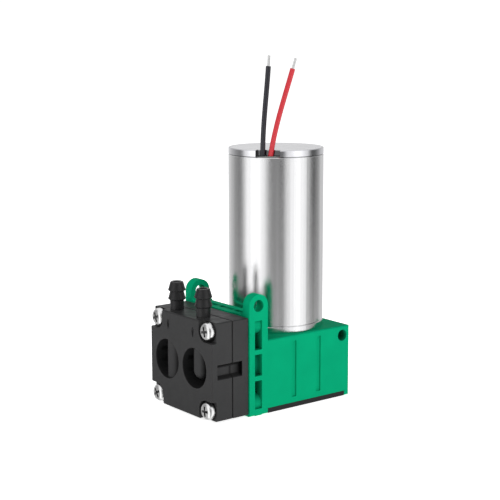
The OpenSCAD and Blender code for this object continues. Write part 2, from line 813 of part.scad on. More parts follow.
module eccentric() color("darkkhaki") difference() {
    union() {
        translate([0, 0, hub_bottom]) cylinder(h = hub_top - hub_bottom, r = hub_r);
        // Counterweight opposite the throw
        along_z(hub_top - counterweight_h - 0.4, hub_top - 0.4) intersection() {
            circle(counterweight_r);
            translate([-counterweight_r, -counterweight_r]) square([2 * counterweight_r, counterweight_r]);
        }
        translate([0, crank_y, hub_top - 0.1]) {
            cylinder(h = crank_bottom - hub_top + 0.1, r = crank_bore / 2 + 0.9);
        }
        translate([0, crank_y, crank_bottom - 0.1]) cylinder(h = crank_w + 0.3, d = crank_bore);
    }
    cylinder(h = deck_z, r = shaft_d / 2 + slip / 2);
    translate([0, 0, set_screw_z]) rotate([-90, 0, 0]) cylinder(h = hub_r + 1, r = set_screw_r + slip);
}

module eccentric_set_screw() color("dimgray") {
    translate([0, shaft_d / 2 + 2 * slip, set_screw_z]) rotate([-90, 0, 0]) difference() {
        cylinder(h = set_screw_l, r = set_screw_r);
        translate([0, 0, set_screw_l - hex_depth]) cylinder(h = 2, r = hex_r, $fn = 6);
    }
}

module motor_can() color(STEEL) bevelled_ring(can_r, can_inner_r, can_bottom, can_top, can_bevel);

module motor_front_cap() color(STEEL) difference() {
    union() {
        bevelled_ring(can_r, 0, deck_z, can_bottom, can_bevel);
        translate([0, 0, can_bottom - 0.1]) cylinder(h = spigot_h + 0.1, r = spigot_r);
        translate([0, 0, deck_z - pilot_h]) cylinder(h = pilot_h + 5, r = pilot_r);
    }
    difference() {
        translate([0, 0, can_bottom]) cylinder(h = spigot_h + 1, r = spigot_r - spigot_t);
        cylinder(h = cap_top, r = pilot_r);
    }
    translate([0, 0, deck_z - pilot_h - 1]) cylinder(h = deck_t + 8, r = shaft_d / 2 + 0.5);
    translate([0, 0, front_bush_z]) cylinder(h = 10, r = bush_d / 2 + slip);
    for (x = [-motor_screw_x, motor_screw_x]) {
        translate([x, 0, deck_z - 1]) cylinder(h = front_cap_h + 2, r = motor_screw_d / 2 + slip);
    }
}

// A wedge of space for the lead notch, between two heights
module notch_space(r_in, width, z0, z1) {
    rotate([0, 0, notch_angle - 90]) translate([r_in, -width / 2, z0]) cube([can_r, width, z1 - z0]);
}

module motor_rear_cap() color(STEEL) difference() {
    union() {
        bevelled_ring(can_r, 0, can_top, cap_top, can_bevel);
        bevelled_ring(spigot_r, spigot_r - spigot_t, card_top, can_top + 0.1, 0.05);
        translate([0, 0, rear_bush_z - 0.2]) cylinder(h = bush_h + 0.3, r = bush_d / 2 + 1);
    }
    notch_space(can_r - notch_depth, notch_w, card_top - 1, cap_top + 1);
    translate([0, 0, rear_bush_z - 1]) cylinder(h = bush_h + 1, r = bush_d / 2 + slip);
}

module motor_screws() color(STEEL) {
    for (x = [-motor_screw_x, motor_screw_x]) translate([x, 0, room_top]) rotate([180, 0, 0]) {
        pan_screw(motor_screw_d, motor_screw_head_d, motor_screw_head_h, deck_t + front_cap_h - 0.2);
    }
}

// A sintered bush that starts at a height
module bush(z0) {
    translate([0, 0, z0]) rotate_extrude() {
        translate([shaft_d / 2 + running, 0]) square([bush_d / 2 - shaft_d / 2 - running, bush_h]);
    }
}

module front_bush() color("goldenrod") bush(front_bush_z + slip);

module rear_bush() color("goldenrod") bush(rear_bush_z);

module magnets() color("dimgray") {
    for (turn = [0, 180]) rotate([0, 0, turn - magnet_angle / 2]) rotate_extrude(angle = magnet_angle) {
        translate([spigot_r - magnet_t, core_bottom - 2]) square([magnet_t, core_h + 4]);
    }
}

module brush_card() color([0.12, 0.12, 0.13]) difference() {
    union() {
        bevelled_ring(spigot_r, bush_d / 2 + 1.3, card_bottom, card_top - slip, 0.05);
        // Block that guides the leads out through the notch
        intersection() {
            notch_space(can_r - notch_depth + slip, notch_w - 2 * slip, card_top - 0.5, can_top + 0.3);
            cylinder(h = cap_top, r = spigot_r);
        }
    }
    for (route = [black_route, red_route]) {
        translate([route[0].x, route[0].y, card_bottom - 1]) cylinder(h = 10, r = lead_d / 2 + slip);
    }
}

module brushes() color("dimgray") {
    for (turn = [0, 180]) rotate([0, 0, turn]) {
        difference() {
            translate([commutator_d / 2 - 0.5, -brush_w / 2, brush_z - brush_h / 2]) {
                cube([brush_l + 0.5, brush_w, brush_h]);
            }
            cylinder(h = cap_top, r = commutator_d / 2 + running);
        }
        // Spring arm from the card down to the brush
        translate([commutator_d / 2 + brush_l, -brush_w / 2, brush_z - brush_h / 2]) {
            cube([spring_t, brush_w, card_bottom - brush_z + brush_h / 2 - slip]);
        }
    }
}

module motor_shaft() color(STEEL) {
    translate([0, 0, shaft_bottom]) rotate_extrude() polygon([
        [0, 0], [shaft_d / 2 - 0.2, 0], [shaft_d / 2, 0.2], [shaft_d / 2, shaft_top - shaft_bottom - 0.2],
        [shaft_d / 2 - 0.2, shaft_top - shaft_bottom], [0, shaft_top - shaft_bottom]
    ]);
}

// The winding slots, made a little smaller or larger by grow
module slot_outline(grow) {
    for (i = [0 : rotor_slots - 1]) rotate(i * 360 / rotor_slots) {
        translate([slot_mid_r, 0]) circle(slot_r + grow);
        translate([slot_mid_r, -slot_mouth / 2 - grow]) square([rotor_r, slot_mouth + 2 * grow]);
    }
}

module rotor_core() color("slategray") along_z(core_bottom, core_top) difference() {
    circle(rotor_r);
    slot_outline(0);
    circle(shaft_d / 2 + slip / 2);
}

module rotor_winding() color("chocolate") {
    along_z(core_bottom - 0.6, core_top + 0.6) intersection() {
        slot_outline(-slip);
        circle(slot_mid_r + slot_r - 0.3);
    }
    for (z = [core_bottom - winding_rise, core_top + slip]) translate([0, 0, z]) rotate_extrude() {
        rounded_rect([shaft_d / 2 + 0.6, 0], [slot_mid_r + slot_r - 0.4, winding_rise - slip], 1.2);
    }
}

module commutator() color("peru") {
    along_z(commutator_bottom, commutator_bottom + commutator_h) difference() {
        circle(commutator_d / 2);
        circle(shaft_d / 2 + slip / 2);
        for (i = [0 : rotor_slots - 1]) rotate(i * 360 / rotor_slots) {
            translate([commutator_d / 2 - 0.7, -0.15]) square([1, 0.3]);
        }
    }
}

// A round tube swept along a route of points, as one closed mesh
function unit(v) = v / norm(v);
function step_dir(p, i) = unit(p[min(i + 1, len(p) - 1)] - p[max(i - 1, 0)]);
function ring(p, i, r, sides) =
    let (d = step_dir(p, i), u = unit(cross([0, 1, 0], d)), v = cross(d, u))
    [for (k = [0 : sides - 1]) p[i] + r * (cos(360 * k / sides) * u + sin(360 * k / sides) * v)];

module tube(route, d, sides) {
    n = len(route);
    points = [for (i = [0 : n - 1]) each ring(route, i, d / 2, sides)];
    walls = [
        for (i = [0 : n - 2], k = [0 : sides - 1])
            let (a = i * sides + k, b = i * sides + (k + 1) % sides) [a, a + sides, b + sides, b]
    ];
    start = [[for (k = [0 : sides - 1]) k]];
    end = [[for (k = [sides - 1 : -1 : 0]) (n - 1) * sides + k]];
    polyhedron(points = points, faces = concat(start, walls, end), convexity = 4);
}

module lead_black() color([0.1, 0.1, 0.1]) tube(black_route, lead_d, 8);

module lead_red() color("red") tube(red_route, lead_d, 8);

module lead_tips() color(STEEL) for (route = [black_route, red_route]) {
    last = route[len(route) - 1];
    dir = step_dir(route, len(route) - 1);
    tube([last + 0.01 * dir, last + tip_h / 2 * dir, last + tip_h * dir], tip_d, 8);
}

crankcase();
base_cover();
base_cover_screws();
valve_body();
head_gasket();
head_cover();
head_screws();
inlet_valve();
outlet_valve();
diaphragm();
retaining_plate();
retaining_screw();
connecting_rod();
crank_bearing_outer();
crank_bearing_inner();
crank_bearing_balls();
crank_bearing_cage();
eccentric();
eccentric_set_screw();
motor_can();
motor_front_cap();
motor_rear_cap();
motor_screws();
front_bush();
rear_bush();
magnets();
brush_card();
brushes();
motor_shaft();
rotor_core();
rotor_winding();
commutator();
lead_black();
lead_red();
lead_tips();
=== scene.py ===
import math

import bmesh
import bpy
from mathutils import Matrix, Vector


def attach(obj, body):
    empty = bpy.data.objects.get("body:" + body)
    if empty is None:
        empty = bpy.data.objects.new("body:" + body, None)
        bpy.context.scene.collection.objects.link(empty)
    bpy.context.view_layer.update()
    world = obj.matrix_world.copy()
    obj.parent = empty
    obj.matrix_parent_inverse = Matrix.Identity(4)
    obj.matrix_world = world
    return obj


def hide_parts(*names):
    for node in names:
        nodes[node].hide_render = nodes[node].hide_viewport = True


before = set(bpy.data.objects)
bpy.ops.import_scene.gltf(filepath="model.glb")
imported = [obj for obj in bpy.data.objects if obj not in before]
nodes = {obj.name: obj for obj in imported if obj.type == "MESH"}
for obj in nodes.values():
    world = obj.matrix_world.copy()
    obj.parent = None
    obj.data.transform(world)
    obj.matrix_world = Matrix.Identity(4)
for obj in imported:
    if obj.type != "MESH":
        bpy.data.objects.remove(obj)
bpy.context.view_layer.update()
scene = bpy.context.scene
MM = 0.001

# The camera that meets the photograph best without a shift: its place in metres, how far it stands from
# straight in front of the head towards +X, how far it looks down and leans, in degrees, and its focal
# length in mm
CAMERA_PLACE = (0.28584, -0.23160, 0.10655)
CAMERA_TURN, CAMERA_TILT, CAMERA_ROLL = 52.179, 9.707, -0.115
CAMERA_LENS = 90.419

# Places and sizes on the pump, in mm, as in the CAD source
HEAD_Z, HEAD_TOP_Z, HEAD_SIDE_X = 14.65, 28.7, 15.1
FACE_Y, PARTING_Y, FLANGE_FRONT_Y = -34.8, -27.6, -22.0
RECESS_X, RECESS_R, RECESS_FLOOR_Y, TUBE_Y = 6.75, 5.8, -28.8, -31.3
SLOT_FRONT_Y, SLOT_BACK_Y, SLOT_HALF_H, SLOT_FLOOR_HALF_H = -32.9, -24.25, 2.2, 1.25
SCREW_X, SCREW_DZ, SCREW_SEAT_Y, SCREW_TIP_Y, POCKET_R = 12.0, 11.35, -33.15, -17.8, 3.1
CASE_SIDE_X, FLANGE_TOP_Z, FRONT_PLATE_Y, REAR_PLATE_Y = 15.5, 29.0, -20.05, -17.5
CROSS_HOLE_Y, CROSS_HOLE_Z, EAR_HOLE_Y, EAR_HOLE_Z, HOLE_R = 12.85, 18.65, -18.7, 31.8, 1.7
CAN_R, CAN_TOP_Z, CAP_TOP_Z = 14.0, 72.4, 74.4
CARD_BOTTOM_Z, CARD_TOP_Z, LEAD_FOOT_Z = 68.4, 70.8, 72.8
NOTCH_R, NOTCH_HALF_W, NOTCH_TURN = 11.4, 3.5, math.radians(41 - 90)


# Camera

def make_camera():
    data = bpy.data.cameras.new("camera")
    data.sensor_width = 36
    data.lens = CAMERA_LENS
    data.clip_start, data.clip_end = 0.02, 20
    data.dof.use_dof = False
    cam = bpy.data.objects.new("camera", data)
    scene.collection.objects.link(cam)
    turn, tilt, roll = (math.radians(angle) for angle in (CAMERA_TURN, CAMERA_TILT, CAMERA_ROLL))
    forward = Vector((-math.sin(turn) * math.cos(tilt), math.cos(turn) * math.cos(tilt), -math.sin(tilt)))
    cam.rotation_mode = "QUATERNION"
    cam.rotation_quaternion = forward.to_track_quat("-Z", "Y") @ Matrix.Rotation(roll, 3, "Z").to_quaternion()
    cam.location = CAMERA_PLACE
    scene.camera = cam


make_camera()


# Node helpers

class Nodes:
    """Adds nodes to a node tree and links them. An input is a value or the socket that feeds it."""

    def __init__(self, tree):
        self.nodes, self.links = tree.nodes, tree.links

    def add(self, kind, inputs=None, **settings):
        node = self.nodes.new(kind)
        for key, value in settings.items():
            setattr(node, key, value)
        self.feed(node, inputs or {})
        return node

    def feed(self, node, inputs):
        for key, value in inputs.items():
            if isinstance(value, bpy.types.NodeSocket):
                self.links.new(value, node.inputs[key])
            else:
                node.inputs[key].default_value = value

    def math(self, operation, first, second=0.0):
        return self.add("ShaderNodeMath", {0: first, 1: second}, operation=operation).outputs[0]

    def product(self, first, *others):
        for other in others:
            first = self.math("MULTIPLY", first, other)
        return first

    def largest(self, first, *others):
        for other in others:
            first = self.math("MAXIMUM", first, other)
        return first

    def remap(self, value, start, end, low=0.0, high=1.0):
        """A value that goes from low to high as the given one goes from start to end, and no further."""
        inputs = {"Value": value, "From Min": start, "From Max": end, "To Min": low, "To Max": high}
        return self.add("ShaderNodeMapRange", inputs).outputs["Result"]

    def mix(self, factor, first, second, **settings):
        """A mixture of two colours."""
        inputs = {0: factor, 6: first, 7: second}
        return self.add("ShaderNodeMix", inputs, data_type="RGBA", **settings).outputs[2]

    def dot(self, first, second):
        inputs = {0: first, 1: second}
        return self.add("ShaderNodeVectorMath", inputs, operation="DOT_PRODUCT").outputs["Value"]

    def split(self, vector):
        """X, Y and Z of a vector."""
        return self.add("ShaderNodeSeparateXYZ", {0: vector}).outputs


class Tree(Nodes):
    """A Principled material. Its textures take their place on the object, in metres."""

    def __init__(self, name, **inputs):
        self.material = bpy.data.materials.new(name)
        self.material.use_nodes = True
        super().__init__(self.material.node_tree)
        self.place = self.add("ShaderNodeTexCoord").outputs["Object"]
        self.set(**inputs)

    def set(self, **inputs):
        """Feeds the shader, with an underscore for each space in an input's name, and gives the material."""
        named = {key.replace("_", " "): value for key, value in inputs.items()}
        self.feed(self.nodes["Principled BSDF"], named)
        return self.material

    def noise(self, scale, detail=2.0, roughness=0.5):
        """Noise of one scale, or of one scale for each axis."""
        vector = self.place
        if isinstance(scale, tuple):
            vector = self.add("ShaderNodeMapping", {"Vector": vector, "Scale": scale}).outputs["Vector"]
            scale = 1.0
        inputs = {"Vector": vector, "Scale": scale, "Detail": detail, "Roughness": roughness}
        return self.add("ShaderNodeTexNoise", inputs).outputs["Fac"]

    def ramp(self, value, start, end, low=0.0, high=1.0):
        """As remap, with start and end in mm."""
        return self.remap(value, start * MM, end * MM, low, high)

    def distance(self, value, place=0.0):
        """How far a value is from a place in mm, in metres."""
        return self.math("ABSOLUTE", self.math("SUBTRACT", value, place * MM))

    def disc(self, across, up, centre_across, centre_up, radius, soft=0.08):
        """A mask that is 1 inside a circle, its sizes in mm."""
        a = self.math("SUBTRACT", across, centre_across * MM)
        b = self.math("SUBTRACT", up, centre_up * MM)
        away = self.math("SQRT", self.math("ADD", self.product(a, a), self.product(b, b)))
        return self.ramp(away, radius - soft, radius, 1.0, 0.0)

    def rounded(self, radius, samples):
        """The normal as it would be with rounded edges."""
        return self.add("ShaderNodeBevel", {"Radius": radius}, samples=samples).outputs["Normal"]

    def edges(self):
        """A mask that is 1 on the edges: where the rounded normal leaves the true one."""
        true = self.add("ShaderNodeNewGeometry").outputs["Normal"]
        return self.remap(self.dot(self.rounded(0.22 * MM, samples=4), true), 0.97, 0.72)

    def bump(self, height, strength, distance, normal=None):
        inputs = {"Height": height, "Strength": strength, "Distance": distance}
        if normal is not None:
            inputs["Normal"] = normal
        return self.add("ShaderNodeBump", inputs).outputs["Normal"]


def shade(color, factor):
    return (color[0] * factor, color[1] * factor, color[2] * factor, 1.0)


# Masks of painted shade, by their place on the pump: 0 in the open, 1 where the painted shade is darkest

def cover_painted_shade(t):
    """Painted shade in the head cover's round recesses and screw pockets, and the painted shade of the head's
    slots and seams.
    """
    x, y, z = t.split(t.place)
    side = t.distance(x)
    up = t.math("SUBTRACT", z, HEAD_Z * MM)
    wall = t.math("SUBTRACT", 1.0, t.disc(side, up, RECESS_X, 0.0, RECESS_R - 0.1, 0.1))
    # Painted shade: the tubes in the recesses are left light in front and darkened where they curve back
    tube = t.ramp(y, TUBE_Y - 2.3, TUBE_Y - 1.1, 0.0, 0.9)
    floor = t.ramp(y, RECESS_FLOOR_Y - 1.8, RECESS_FLOOR_Y - 0.4)
    recess = t.product(
        t.disc(side, up, RECESS_X, 0.0, RECESS_R + 0.04),
        t.ramp(y, FACE_Y + 0.02, FACE_Y + 0.3),
        t.largest(wall, tube, floor),
    )
    # Painted shade in the screw pockets, round the screws' seats
    pocket = t.product(
        t.disc(side, t.distance(up), SCREW_X, SCREW_DZ, POCKET_R + 0.2, 0.5),
        t.ramp(y, FACE_Y + 0.02, FACE_Y + 0.5, 0.0, 0.9),
        t.ramp(y, SCREW_SEAT_Y + 0.05, SCREW_SEAT_Y + 0.15, 1.0, 0.0),
    )
    return t.largest(recess, pocket, seam_painted_shade(t))


def seam_painted_shade(t):
    """Painted shade in the head's side slots, and painted shadow lines along its parting line and where it
    meets the flange.
    """
    x, y, z = t.split(t.place)
    up = t.math("SUBTRACT", z, HEAD_Z * MM)
    off = t.distance(up)
    in_slot = t.product(
        t.ramp(t.distance(x), HEAD_SIDE_X, HEAD_SIDE_X - 0.35),
        t.ramp(off, SLOT_HALF_H + 0.1, SLOT_HALF_H + 0.15, 1.0, 0.0),
        t.ramp(y, SLOT_FRONT_Y - 0.1, SLOT_FRONT_Y),
        t.ramp(y, SLOT_BACK_Y + 0.05, SLOT_BACK_Y + 0.15, 1.0, 0.0),
    )
    # Painted shade on the slot's sloping walls, under its upper wall, at the parting line and towards its
    # closed end
    sloping_walls = t.ramp(off, SLOT_FLOOR_HALF_H - 0.05, SLOT_FLOOR_HALF_H + 0.1, 0.0, 0.72)
    below_upper_wall = t.ramp(up, SLOT_FLOOR_HALF_H - 0.5, SLOT_FLOOR_HALF_H - 0.15, 0.0, 0.85)
    parting_in_slot = t.ramp(t.distance(y, PARTING_Y), 0.2, 0.45, 0.88, 0.0)
    closed_end = t.ramp(y, PARTING_Y + 0.4, SLOT_BACK_Y - 0.05, 0.1, 0.97)
    slot = t.product(in_slot, t.largest(sloping_walls, below_upper_wall, parting_in_slot, closed_end))
    # Painted shadow lines at the parting line and where the head meets the flange
    parting = t.ramp(t.distance(y, PARTING_Y), 0.06, 0.15, 0.9, 0.0)
    meeting = t.ramp(t.distance(y, FLANGE_FRONT_Y), 0.048, 0.12, 0.9, 0.0)
    return t.largest(slot, parting, meeting)


def head_top_foot_shade(t):
    """Painted shade: darker on the head's top, and a little darker towards its foot."""
    z = t.split(t.place)["Z"]
    top = t.ramp(z, HEAD_TOP_Z - 0.25, HEAD_TOP_Z - 0.1, 0.0, 0.45)
    foot = t.ramp(z, 2.0, 18.0, 0.2, 0.0)
    return t.math("ADD", top, foot)


def flange_painted_shade(t):
    """Painted shade in the room between the two flange plates, in the cross hole and in the ears' holes."""
    x, y, z = t.split(t.place)
    side = t.distance(x)
    pockets = t.product(
        t.ramp(y, FRONT_PLATE_Y - 0.05, FRONT_PLATE_Y + 0.05),
        t.ramp(y, REAR_PLATE_Y - 0.05, REAR_PLATE_Y + 0.05, 1.0, 0.0),
        t.ramp(side, CASE_SIDE_X - 0.2, CASE_SIDE_X - 2.5),
        t.ramp(z, FLANGE_TOP_Z - 0.9, FLANGE_TOP_Z, 1.0, 0.0),
    )
    cross_hole = t.product(
        t.disc(y, z, CROSS_HOLE_Y, CROSS_HOLE_Z, HOLE_R + 0.04),
        t.ramp(side, CASE_SIDE_X - 0.1, CASE_SIDE_X - 1.5, 0.0, 1.25),
    )
    # A little above the hole's middle, so that the painted shade is darker on its upper wall
    ear_holes = t.product(
        t.disc(y, z, EAR_HOLE_Y, EAR_HOLE_Z + 0.05, HOLE_R + 0.04),
        t.ramp(side, CASE_SIDE_X - 0.1, CASE_SIDE_X - 1.9, 0.0, 0.55),
    )
    return t.largest(pockets, cross_hole, ear_holes)


def cap_painted_shade(t):
    """Painted shade in the notch for the leads, a painted shadow line between the can and its rear cap, and
    the cap's top painted a little darker as shade.
    """
    z = t.split(t.place)["Z"]
    c, s = math.cos(NOTCH_TURN), math.sin(NOTCH_TURN)
    outward = t.dot(t.place, (c, s, 0))
    along = t.distance(t.dot(t.place, (-s, c, 0)))
    notch = t.product(
        t.ramp(outward, NOTCH_R - 0.2, NOTCH_R - 0.15),
        t.ramp(along, NOTCH_HALF_W + 0.02, NOTCH_HALF_W + 0.06, 1.0, 0.0),
        t.ramp(z, CAP_TOP_Z - 0.3, CAP_TOP_Z - 0.02, 0.85, 0.0),
        t.ramp(z, CAN_TOP_Z - 0.05, CAN_TOP_Z),
    )
    seam = t.ramp(t.distance(z, CAN_TOP_Z), 0.05, 0.14, 0.4, 0.0)
    top = t.ramp(z, CAP_TOP_Z - 0.1, CAP_TOP_Z, 0.0, 0.28)
    return t.largest(notch, seam, top)


# Materials

def moulded(name, color, rough, edge, gloss=0.1, shade_mask=None, dark=0.2, tone=None, sleek_shaded_z=None):
    """Injection-moulded plastic: spark-eroded grain, faint flow clouds and paler edges, partly rubbing wear
    and partly a painted highlight. Its shade mask gives painted shade down to the share dark of its colour,
    and the head's top and foot shade goes to a fifth. Above the sleek height, in mm, it has the finer,
    smoother skin of a turned cavity, and its colour is darkened there as painted shade."""
    t = Tree(name, Specular_IOR_Level=gloss)
    cloudy = t.mix(t.remap(t.noise(140, detail=3), 0.3, 0.7), shade(color, 0.955), shade(color, 1.045))
    patches = t.remap(t.noise(900, detail=3), 0.35, 0.75, 0.25, 1.0)
    # Paler edges: partly rubbing wear, partly a painted highlight
    wear_and_highlight_edges = t.product(t.edges(), patches)
    base = t.mix(wear_and_highlight_edges, cloudy, shade(color, edge))
    # Painted shade where the mask says, down to the share dark of the colour
    if shade_mask:
        base = t.mix(shade_mask(t), base, shade(color, dark))
    # Painted shade on the head's top and foot, down to a fifth of the colour
    if tone:
        base = t.mix(tone(t), base, shade(color, 0.2))
    roughness = t.remap(t.noise(420, detail=4), 0.3, 0.7, rough - 0.07, rough + 0.07)
    # Above the sleek height the skin is smoother, and the colour is darkened as painted shade
    if sleek_shaded_z:
        z = t.split(t.place)["Z"]
        roughness = t.product(roughness, t.ramp(z, sleek_shaded_z - 0.1, sleek_shaded_z, 1.0, 0.55))
        base = t.mix(t.ramp(z, sleek_shaded_z - 0.1, sleek_shaded_z, 0.0, 0.2), base, shade(color, 0.3))
    grain = t.bump(t.noise(5200), 0.5, 0.02 * MM, t.rounded(0.12 * MM, samples=6))
    return t.set(Base_Color=base, Roughness=roughness, Normal=grain)


def steel(name, color, rough, lines, streak, blotch=0.06, rings=0.0, shade_mask=None):
    """Metal with fine drawn or ground lines along the streaks' long axis, and rings round Z if wanted."""
    t = Tree(name, Metallic=1.0)
    drawn = t.noise(streak, detail=3, roughness=0.6)
    broad = t.noise(tuple(scale / 9 for scale in streak))
    smear = t.remap(t.noise(160, detail=4, roughness=0.6), 0.35, 0.7, 0.0, blotch)
    skin = t.bump(drawn, lines, 0.004 * MM)
    if rings:
        skin = t.bump(t.noise((1500, 1500, 26000), detail=1), rings, 0.014 * MM, skin)
    base = t.mix(t.remap(broad, 0.3, 0.7), shade(color, 0.93), shade(color, 1.05))
    # Painted shade where the mask says, down to a tenth of the colour
    if shade_mask:
        base = t.mix(shade_mask(t), base, shade(color, 0.1))
    roughness = t.math("ADD", t.remap(drawn, 0.3, 0.7, rough - 0.03, rough + 0.05), smear)
    return t.set(Base_Color=base, Roughness=roughness, Normal=skin)


def turned(name, color, rough):
    """Turned metal: fine rings round the vertical axis and a slightly uneven tone."""
    t = Tree(name, Metallic=1.0)
    rings = t.noise((300, 300, 9000))
    return t.set(
        Base_Color=t.mix(t.remap(t.noise(500, detail=3), 0.3, 0.7), shade(color, 0.85), shade(color, 1.1)),
        Roughness=t.remap(rings, 0.3, 0.7, rough - 0.06, rough + 0.1),
        Normal=t.bump(rings, 0.25, 0.006 * MM),
    )


def cast(name, color, rough, grain, metallic=0.0):
    """A sintered, pressed or moulded body with a granular skin."""
    t = Tree(name, Metallic=metallic)
    grains = t.noise(2600, detail=4, roughness=0.65)
    pores = t.add("ShaderNodeTexVoronoi", {"Vector": t.place, "Scale": 1560})
    pits = t.remap(pores.outputs["Distance"], 0.0, 0.35)
    return t.set(
        Base_Color=t.mix(t.remap(grains, 0.35, 0.65), shade(color, 0.75), shade(color, 1.2)),
        Roughness=t.remap(grains, 0.3, 0.7, rough - 0.08, rough + 0.08),
        Normal=t.bump(t.product(grains, pits), grain, 0.03 * MM),
    )


def soft_rubber(name, color, rough):
    """Rubber with a fine matt skin and a little dust."""
    t = Tree(name, Sheen_Weight=0.1)
    dust = t.noise(600, detail=5, roughness=0.7)
    return t.set(
        Base_Color=t.mix(t.remap(dust, 0.45, 0.8), (*color, 1.0), shade(color, 1.5)),
        Roughness=t.remap(dust, 0.3, 0.7, rough - 0.06, rough + 0.08),
        Normal=t.bump(t.noise(7000, detail=3), 0.3, 0.01 * MM),
    )


def insulation(name, color, rough):
    """The extruded skin of a lead: long faint waves and small scuffs."""
    t = Tree(name, Specular_IOR_Level=0.55)
    scuffs = t.noise(2200, detail=4, roughness=0.7)
    return t.set(
        Base_Color=t.mix(t.remap(scuffs, 0.5, 0.8), (*color, 1.0), shade(color, 1.35)),
        Roughness=t.remap(scuffs, 0.3, 0.7, rough - 0.05, rough + 0.1),
        Normal=t.bump(t.noise((1500, 1500, 220)), 0.3, 0.03 * MM),
    )


def wound_copper(name):
    """Enamelled wire laid in turns round the rotor's end windings."""
    t = Tree(name, Metallic=0.85)
    inputs = {"Vector": t.place, "Scale": 900.0, "Distortion": 3.0, "Detail": 2.0, "Detail Scale": 1.5}
    turns = t.add("ShaderNodeTexWave", inputs, wave_type="BANDS", bands_direction="DIAGONAL").outputs["Fac"]
    return t.set(
        Base_Color=t.mix(turns, (0.20, 0.05, 0.02, 1), (0.62, 0.24, 0.09, 1)),
        Roughness=t.remap(turns, 0.0, 1.0, 0.45, 0.25),
        Normal=t.bump(turns, 0.8, 0.1 * MM),
    )


def laminated(name):
    """Stacked sheet steel: one fine line for each lamination, and a few rusty patches."""
    t = Tree(name, Metallic=0.9)
    inputs = {"Vector": t.place, "Scale": 600.0, "Distortion": 0.4, "Detail": 1.0}
    lines = t.add("ShaderNodeTexWave", inputs, wave_type="BANDS", bands_direction="Z").outputs["Fac"]
    rust = t.noise(700, detail=4)
    sheets = t.mix(lines, (0.10, 0.10, 0.105, 1), (0.42, 0.42, 0.43, 1))
    return t.set(
        Base_Color=t.mix(t.remap(rust, 0.55, 0.8, 0.0, 0.6), sheets, (0.25, 0.13, 0.07, 1)),
        Roughness=t.remap(rust, 0.3, 0.7, 0.32, 0.5),
        Normal=t.bump(lines, 0.6, 0.05 * MM),
    )


GREEN = (0.002, 0.305, 0.143)
BLACK = (0.0325, 0.0325, 0.033)
HEAD_LOOK = dict(color=BLACK, rough=0.46, edge=2.2, gloss=0.2, dark=0.07, tone=head_top_foot_shade)
EVEN = (2500, 2500, 2500)

# Each material's name, the function that makes it and what that is given
LOOKS = {
    "green_plastic": (moulded, dict(
        color=GREEN, rough=0.42, edge=1.35, gloss=0.003, shade_mask=flange_painted_shade, dark=0.12,
    )),
    "black_plastic": (moulded, dict(shade_mask=seam_painted_shade, **HEAD_LOOK)),
    "cover_plastic": (moulded, dict(shade_mask=cover_painted_shade, sleek_shaded_z=28.9, **HEAD_LOOK)),
    # Darker than the face, as painted shade on the flow marks
    "mark_black": (moulded, dict(color=(0.021, 0.021, 0.0215), rough=0.5, edge=1.3)),
    "base_plastic": (moulded, dict(color=(0.02, 0.02, 0.021), rough=0.5, edge=2.0)),
    "card_plastic": (moulded, dict(color=(0.2, 0.21, 0.205), rough=0.5, edge=1.5)),
    "white_plastic": (moulded, dict(color=(0.72, 0.72, 0.69), rough=0.4, edge=1.1)),
    "motor_steel": (steel, dict(
        color=(0.80, 0.80, 0.80), rough=0.1, lines=0.35, streak=(7000, 7000, 25), rings=0.8,
        shade_mask=cap_painted_shade,
    )),
    "cap_steel": (steel, dict(
        color=(0.79, 0.79, 0.81), rough=0.12, lines=0.2, streak=(2200, 2200, 2200), blotch=0.03,
        shade_mask=cap_painted_shade,
    )),
    "screw_steel": (steel, dict(color=(0.9, 0.9, 0.89), rough=0.24, lines=0.3, streak=EVEN)),
    # A darker steel for the cross recesses, as painted shade
    "screw_recess": (steel, dict(color=(0.32, 0.32, 0.32), rough=0.3, lines=0.3, streak=EVEN)),
    "plain_steel": (steel, dict(color=(0.60, 0.60, 0.61), rough=0.22, lines=0.4, streak=(500, 500, 6000))),
    "tinned": (steel, dict(color=(0.74, 0.74, 0.73), rough=0.3, lines=0.6, streak=(2500, 2500, 900))),
    "brass": (turned, dict(color=(0.72, 0.50, 0.20), rough=0.26)),
    "bronze": (cast, dict(color=(0.50, 0.30, 0.13), rough=0.45, grain=0.5, metallic=0.9)),
    "copper": (wound_copper, {}),
    "commutator_copper": (turned, dict(color=(0.78, 0.36, 0.20), rough=0.3)),
    "laminations": (laminated, {}),
    "ferrite": (cast, dict(color=(0.055, 0.055, 0.06), rough=0.6, grain=0.5)),
    "carbon": (cast, dict(color=(0.035, 0.034, 0.034), rough=0.5, grain=0.4, metallic=0.2)),
    "rubber": (soft_rubber, dict(color=(0.022, 0.022, 0.023), rough=0.62)),
    "lead_black": (insulation, dict(color=(0.011, 0.011, 0.016), rough=0.36)),
    "lead_red": (insulation, dict(color=(0.48, 0.018, 0.028), rough=0.38)),
}
made = {name: kind(name, **values) for name, (kind, values) in LOOKS.items()}

